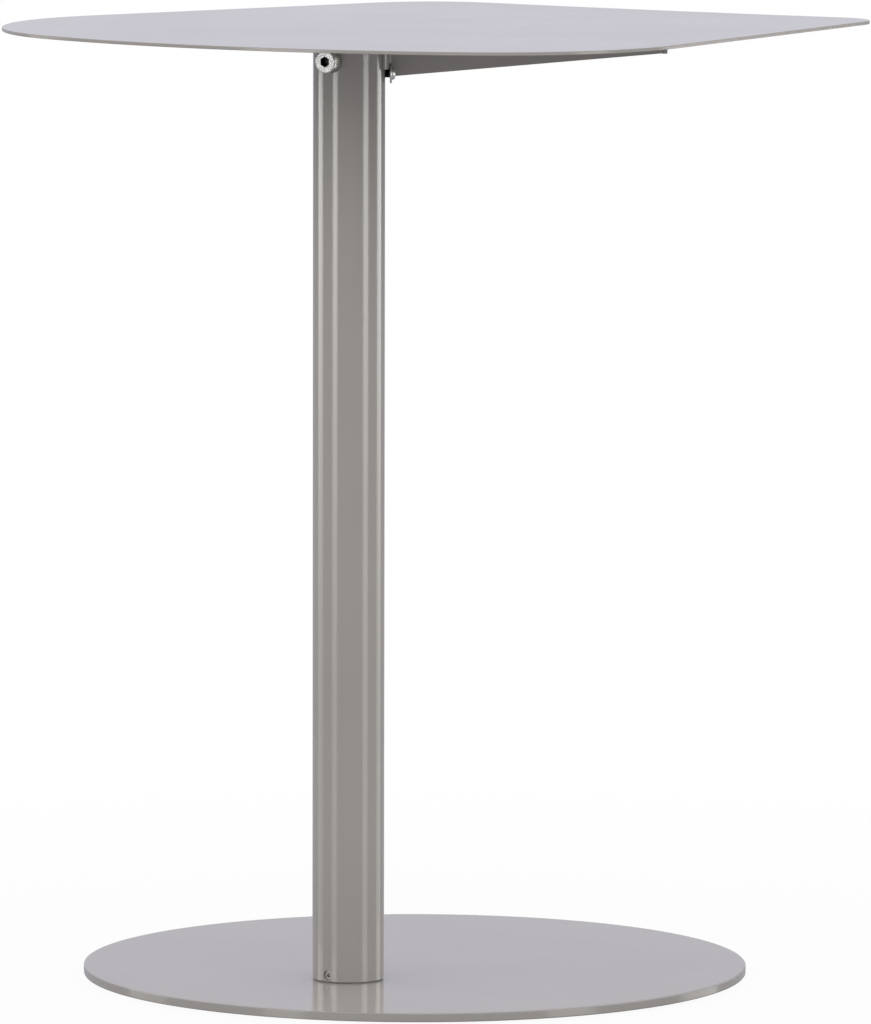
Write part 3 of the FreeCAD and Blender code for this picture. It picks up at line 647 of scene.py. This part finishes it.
class TABLE_OT_finish_plugs(bpy.types.Operator):
    """Gives the two plugs inside the column their turned finish."""

    bl_idname = "table.finish_plugs"
    bl_label = "Finish the plugs"

    def execute(self, context):
        dress(finish(context, "turned_bar_steel"), "foot_plug", "head_plug")
        return {"FINISHED"}


class TABLE_OT_lay_felt(bpy.types.Operator):
    """Gives the disc under the base its felt."""

    bl_idname = "table.lay_felt"
    bl_label = "Lay the felt"

    def execute(self, context):
        dress(finish(context, "pressed_wool_felt"), "base_felt")
        return {"FINISHED"}


class TABLE_OT_fit_cross_bolt(bpy.types.Operator):
    """Fits the knurled cap screw through the column's head, with its washer and nut."""

    bl_idname = "table.fit_cross_bolt"
    bl_label = "Fit the cross bolt"

    def execute(self, context):
        metal = context.scene.table_metal
        zinc = finish(context, "bright_zinc_plated_steel")
        bare = finish(context, "oiled_bare_steel")
        column = Vector((COLUMN_X, COLUMN_Y, box_centre("cross_bolt").z))
        axis = (box_centre("cross_nut") - column).normalized()
        face, tip = along("cross_bolt", column, axis)
        nut_start, nut_end = along("cross_nut", column, axis)
        head_radius = round_radius("cross_bolt", column, axis)
        head_height = -COLUMN_RADIUS - face
        flats = round_radius("cross_nut", column, axis) * math.sqrt(3)
        shank_radius = flats * BOLT_DIAMETER / 2 / NUT_FLATS
        pitch = 2 * shank_radius * metal.thread_pitch_share

        bm = bmesh.new()
        cap_screw(bm, head_radius, head_height, shank_radius, tip + COLUMN_RADIUS, pitch,
                  metal.knurl_count)
        # Painted shade: the faces inside the socket get the dark steel
        socket_mouth = CAP_SHADE_DEPTH_SHARE * head_radius - head_height
        mark(bm, lambda middle: socket_mouth < middle.z < 0
             and middle.xy.length < CAP_SHADE_RADIUS_SHARE * head_radius)
        bm.transform(axis_matrix(column - axis * COLUMN_RADIUS, axis))
        screw = finished(bm, "cross_cap_screw", zinc, bare)
        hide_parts("cross_bolt")

        bm = bmesh.new()
        hex_nut(bm, flats, nut_end - nut_start, shank_radius)
        bm.transform(axis_matrix(column + axis * nut_start, axis))
        nut = finished(bm, "cross_hex_nut", zinc)
        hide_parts("cross_nut")
        dress(zinc, "cross_washer")
        return {"FINISHED"}


class TABLE_OT_fit_hook_screw(bpy.types.Operator):
    """Fits the flanged screw that the side arm hooks on to."""

    bl_idname = "table.fit_hook_screw"
    bl_label = "Fit the hook screw"

    def execute(self, context):
        metal = context.scene.table_metal
        column = Vector((COLUMN_X, COLUMN_Y, box_centre("hook_screw").z))
        arm = box_centre("side_arm") - column
        axis = Vector((arm.x, 0, 0)).normalized()
        tip, face = along("hook_screw", column, axis)
        flange_radius = round_radius("hook_screw", column, axis)
        shank_radius = flange_radius * HOOK_SHANK_DIAMETER / HOOK_FLANGE_DIAMETER
        seat = tip + flange_radius * HOOK_SHANK_LENGTH / (HOOK_FLANGE_DIAMETER / 2)
        head_height = face - seat
        flange_share = HOOK_FLANGE_THICKNESS / (HOOK_FLANGE_THICKNESS + HOOK_DOME_HEIGHT)
        dome_radius = flange_radius * HOOK_DOME_DIAMETER / HOOK_FLANGE_DIAMETER
        bm = bmesh.new()
        flanged_screw(bm, (flange_radius, head_height * flange_share),
                      (dome_radius, head_height * (1 - flange_share)), shank_radius,
                      seat - tip, 2 * shank_radius * metal.thread_pitch_share)
        # Painted shade: the shank and the inside of the socket get the dark steel
        mark(bm, lambda middle: middle.z < -SHANK_SHADE_SHARE * flange_radius
             or middle.z < DOME_SHADE_HEIGHT_SHARE * head_height
             and middle.xy.length < DOME_SHADE_RADIUS_SHARE * dome_radius)
        bm.transform(axis_matrix(column + axis * seat, axis))
        screw = finished(bm, "flanged_hook_screw", finish(context, "bright_zinc_plated_steel"),
                         finish(context, "oiled_bare_steel"))
        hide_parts("hook_screw")
        return {"FINISHED"}


class TABLE_OT_finish_screws(bpy.types.Operator):
    """Finishes the fasteners at the foot."""

    bl_idname = "table.finish_screws"
    bl_label = "Finish the foot's screws"

    def execute(self, context):
        dress(finish(context, "bright_zinc_plated_steel"),
              "foot_screw", "foot_pin", "foot_lock_screw")
        return {"FINISHED"}


class TABLE_OT_fit_stud_fixings(bpy.types.Operator):
    """Fits the weld studs under the top, with their washers and nuts."""

    bl_idname = "table.fit_stud_fixings"
    bl_label = "Fit the studs and nuts"

    def execute(self, context):
        metal = context.scene.table_metal
        zinc = finish(context, "bright_zinc_plated_steel")
        down = Vector((0, 0, -1))
        bm = bmesh.new()
        for low, high in solids_of("top_studs"):
            radius = (high.x - low.x) / 2
            pitch = 2 * radius * metal.thread_pitch_share
            part = bmesh.new()
            threaded_stud(part, radius, high.z - low.z, pitch)
            root = Vector(((low.x + high.x) / 2, (low.y + high.y) / 2, high.z))
            add_part(bm, part, axis_matrix(root, down))
        studs = finished(bm, "threaded_weld_studs", zinc)
        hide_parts("top_studs")

        first_low, first_high = solids_of("top_studs")[0]
        bore = (first_high.x - first_low.x) / 2
        bm = bmesh.new()
        for low, high in solids_of("stud_nuts"):
            flats = min(high.x - low.x, high.y - low.y)
            part = bmesh.new()
            hex_nut(part, flats, high.z - low.z, bore)
            foot = Vector(((low.x + high.x) / 2, (low.y + high.y) / 2, low.z))
            add_part(bm, part, Matrix.Translation(foot))
        nuts = finished(bm, "clamp_nuts", zinc)
        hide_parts("stud_nuts")
        dress(zinc, "stud_washers")
        return {"FINISHED"}


# Studio

# The floor lies this far under the felt, so that the two never share a plane
FLOOR_GAP = 0.05 * MM
FLOOR_SIDES = 96

# Azimuth from the front, in degrees to the right, width, and strength at the foot and the head
STRIPS = (
    ("strip_left_front", -44.3, 0.47, 2.2, 9.3),
    ("strip_right_front", 55.6, 0.55, 2.5, 8.2),
    ("strip_left_side", -104, 0.64, 1.5, 7.0),
    ("strip_right_side", 114.4, 0.72, 1.8, 6.5),
)

# Heights between which a strip light gets brighter, and how late in the rise
STRIP_RISE = {"From Min": -0.1, "From Max": 0.39}
STRIP_RISE_POWER = 1.7

# Parts of the sky in which light and backdrop change, as sines of the angle above eye level
SKY_LOW_TO_MIDDLE = {"From Min": 0.15, "From Max": 0.35}
SKY_MIDDLE_TO_ABOVE = {"From Min": 0.65, "From Max": 0.92}
BACKDROP_FOOT = {"From Min": -0.05, "From Max": 0.03}
BACKDROP_ABOVE = {"From Min": 0.08, "From Max": 0.15}

# Millimetres of the camera's sensor, and metres that it sees
SENSOR_WIDTH = 36
CAMERA_REACH = 100


def pale_floor(studio):
    """Painted plywood, matt white. The camera sees it near white, whiter further off, and
    looks through it from below."""
    material, tree, point = new_material("matt_white_floor")
    grain = add_node(tree, "ShaderNodeTexNoise",
                     {"Vector": point, "Scale": 1 / (1.5 * MM), "Detail": 2.0})
    raised = add_node(tree, "ShaderNodeBump", {"Height": grain, "Distance": 0.02 * MM})
    paint = add_node(tree, "ShaderNodeBsdfDiffuse",
                     {"Color": linear(studio.floor_colour), "Normal": raised})
    white = add_node(tree, "ShaderNodeEmission", {"Color": linear("FFFFFF"), "Strength": 1.0})
    reach = add_node(tree, "ShaderNodeVectorMath", {0: point}, operation="LENGTH")
    fade = add_node(tree, "ShaderNodeMapRange", {
        "Value": reach.outputs["Value"], "From Min": studio.white_start,
        "From Max": studio.white_end, "To Min": studio.white_share, "To Max": 1.0})
    path = add_node(tree, "ShaderNodeLightPath")
    whiteness = add_node(tree, "ShaderNodeMath", {0: path.outputs["Is Camera Ray"], 1: fade},
                         operation="MULTIPLY")
    above = add_node(tree, "ShaderNodeMixShader", {0: whiteness, 1: paint, 2: white})
    side = add_node(tree, "ShaderNodeNewGeometry")
    clear = add_node(tree, "ShaderNodeBsdfTransparent")
    surface = add_node(tree, "ShaderNodeMixShader",
                       {0: side.outputs["Backfacing"], 1: above, 2: clear})
    add_node(tree, "ShaderNodeOutputMaterial", {"Surface": surface})
    return material


def strip_cloth(name, studio, low, high):
    """Cloth front of a strip light, brighter towards its top."""
    material, tree, point = new_material(name)
    parts = add_node(tree, "ShaderNodeSeparateXYZ", {"Vector": point})
    rise = add_node(tree, "ShaderNodeMapRange", {"Value": parts.outputs["Z"], **STRIP_RISE})
    curve = add_node(tree, "ShaderNodeMath", {0: rise, 1: STRIP_RISE_POWER}, operation="POWER")
    strength = add_node(tree, "ShaderNodeMapRange", {"Value": curve, "To Min": low, "To Max": high})
    glow = add_node(tree, "ShaderNodeEmission",
                    {"Color": linear(studio.strip_colour), "Strength": strength})
    add_node(tree, "ShaderNodeOutputMaterial", {"Surface": glow})
    return material


def studio_world(studio):
    """White to the camera, the pale backdrop to reflections, and light from above to the rest."""
    world = bpy.data.worlds.new("studio")
    world.use_nodes = True
    tree = world.node_tree
    tree.nodes.clear()
    direction = add_node(tree, "ShaderNodeTexCoord").outputs["Generated"]
    height = add_node(tree, "ShaderNodeSeparateXYZ", {"Vector": direction}).outputs["Z"]
    rise = add_node(tree, "ShaderNodeMapRange", {
        "Value": height, **SKY_LOW_TO_MIDDLE, "To Min": studio.light_low,
        "To Max": studio.light_middle})
    fall = add_node(tree, "ShaderNodeMapRange", {
        "Value": height, **SKY_MIDDLE_TO_ABOVE, "To Min": 1.0, "To Max": studio.light_above})
    strength = add_node(tree, "ShaderNodeMath", {0: rise, 1: fall}, operation="MULTIPLY")
    light = add_node(tree, "ShaderNodeBackground",
                     {"Color": linear(studio.light_colour), "Strength": strength})
    foot = add_node(tree, "ShaderNodeMapRange", {
        "Value": height, **BACKDROP_FOOT, "To Min": studio.backdrop_foot, "To Max": 1.0})
    dim = add_node(tree, "ShaderNodeMapRange", {
        "Value": height, **BACKDROP_ABOVE, "To Min": 1.0, "To Max": studio.backdrop_above})
    paleness = add_node(tree, "ShaderNodeMath", {0: foot, 1: dim}, operation="MULTIPLY")
    pale = add_node(tree, "ShaderNodeBackground",
                    {"Color": linear(studio.backdrop), "Strength": paleness})
    white = add_node(tree, "ShaderNodeBackground", {"Color": linear("FFFFFF"), "Strength": 1.0})
    path = add_node(tree, "ShaderNodeLightPath")
    mirrored = add_node(tree, "ShaderNodeMath",
                        {0: path.outputs["Is Glossy Ray"], 1: path.outputs["Is Transmission Ray"]},
                        operation="MAXIMUM")
    lit = add_node(tree, "ShaderNodeMixShader", {0: mirrored, 1: light, 2: pale})
    seen = add_node(tree, "ShaderNodeMixShader",
                    {0: path.outputs["Is Camera Ray"], 1: lit, 2: white})
    add_node(tree, "ShaderNodeOutputWorld", {"Surface": seen})
    return world


def stage_piece(bm, name, material):
    """The mesh as an object that isn't part of the table."""
    mesh = bpy.data.meshes.new(name)
    bm.to_mesh(mesh)
    bm.free()
    mesh.materials.append(material)
    piece = bpy.data.objects.new(name, mesh)
    bpy.context.scene.collection.objects.link(piece)
    return piece


def lay_floor(studio):
    """A round floor that reflections pass by, as they show the backdrop instead."""
    bm = bmesh.new()
    bmesh.ops.create_circle(bm, cap_ends=True, cap_tris=True, segments=FLOOR_SIDES,
                            radius=studio.floor_radius,
                            matrix=Matrix.Translation((0, 0, -FLOOR_GAP)))
    floor = stage_piece(bm, "floor", pale_floor(studio))
    floor.visible_glossy = False


def stand_strip(studio, name, azimuth, width, low, high):
    """An upright strip that faces the column and shows in reflections alone."""
    height = studio.strip_top - studio.strip_foot
    bm = bmesh.new()
    bmesh.ops.create_grid(bm, x_segments=1, y_segments=1, size=0.5)
    bmesh.ops.scale(bm, vec=(width, height, 1), verts=bm.verts)
    bmesh.ops.rotate(bm, matrix=Matrix.Rotation(math.pi / 2, 3, "X"), verts=bm.verts)
    bmesh.ops.rotate(bm, matrix=Matrix.Rotation(azimuth, 3, "Z"), verts=bm.verts)
    away = Vector((math.sin(azimuth), -math.cos(azimuth), 0)) * studio.strip_distance
    middle = Vector((COLUMN_X, COLUMN_Y, studio.strip_foot + height / 2))
    bmesh.ops.translate(bm, vec=middle + away, verts=bm.verts)
    strip = stage_piece(bm, name, strip_cloth(name, studio, low, high))
    strip.visible_camera = False
    strip.visible_diffuse = False
    strip.visible_shadow = False


def place_camera(scene, studio):
    """The camera of the photograph, which looks a little down on the table."""
    data = bpy.data.cameras.new("camera")
    data.lens = studio.camera_lens
    data.sensor_width = SENSOR_WIDTH
    data.clip_end = CAMERA_REACH
    camera = bpy.data.objects.new("camera", data)
    scene.collection.objects.link(camera)
    look = Matrix.Rotation(math.pi / 2 - studio.camera_pitch, 4, "X")
    roll = Matrix.Rotation(studio.camera_roll, 4, "Z")
    camera.matrix_world = Matrix.Translation(studio.camera_place) @ look @ roll
    scene.camera = camera


class TABLE_OT_set_stage(bpy.types.Operator):
    """Sets the floor, the strip lights, the room's light and the camera."""

    bl_idname = "table.set_stage"
    bl_label = "Set the stage"

    def execute(self, context):
        scene = context.scene
        studio = scene.table_studio
        lay_floor(studio)
        for name, azimuth, width, low, high in STRIPS:
            stand_strip(studio, name, math.radians(azimuth), width, low, high)
        scene.world = studio_world(studio)
        place_camera(scene, studio)
        scene.view_settings.view_transform = "Standard"
        return {"FINISHED"}


# Panel and registration

STEPS = (
    TABLE_OT_coat_sheet_and_tube,
    TABLE_OT_finish_plugs,
    TABLE_OT_lay_felt,
    TABLE_OT_fit_cross_bolt,
    TABLE_OT_fit_hook_screw,
    TABLE_OT_finish_screws,
    TABLE_OT_fit_stud_fixings,
    TABLE_OT_set_stage,
)

GROUPS = (
    ("table_coat", CoatSettings),
    ("table_metal", MetalSettings),
    ("table_studio", StudioSettings),
)


class TABLE_PT_steps(bpy.types.Panel):
    """Lists the steps and the settings in the sidebar."""

    bl_idname = "TABLE_PT_steps"
    bl_label = "Corner table"
    bl_space_type = "VIEW_3D"
    bl_region_type = "UI"
    bl_category = "Corner table"

    def draw(self, context):
        for step in STEPS:
            self.layout.operator(step.bl_idname)
        for name, group in GROUPS:
            column = self.layout.column()
            for setting in group.__annotations__:
                column.prop(getattr(context.scene, name), setting)


def register():
    for name, group in GROUPS:
        bpy.utils.register_class(group)
        setattr(bpy.types.Scene, name, PointerProperty(type=group))
    for step in STEPS:
        bpy.utils.register_class(step)
    bpy.utils.register_class(TABLE_PT_steps)


def unregister():
    bpy.utils.unregister_class(TABLE_PT_steps)
    for step in reversed(STEPS):
        bpy.utils.unregister_class(step)
    for name, group in reversed(GROUPS):
        delattr(bpy.types.Scene, name)
        bpy.utils.unregister_class(group)


def main():
    register()
    bpy.ops.table.coat_sheet_and_tube()
    bpy.ops.table.finish_plugs()
    bpy.ops.table.lay_felt()
    bpy.ops.table.fit_cross_bolt()
    bpy.ops.table.fit_hook_screw()
    bpy.ops.table.finish_screws()
    bpy.ops.table.fit_stud_fixings()
    bpy.ops.table.set_stage()


if __name__ == "__main__":
    main()
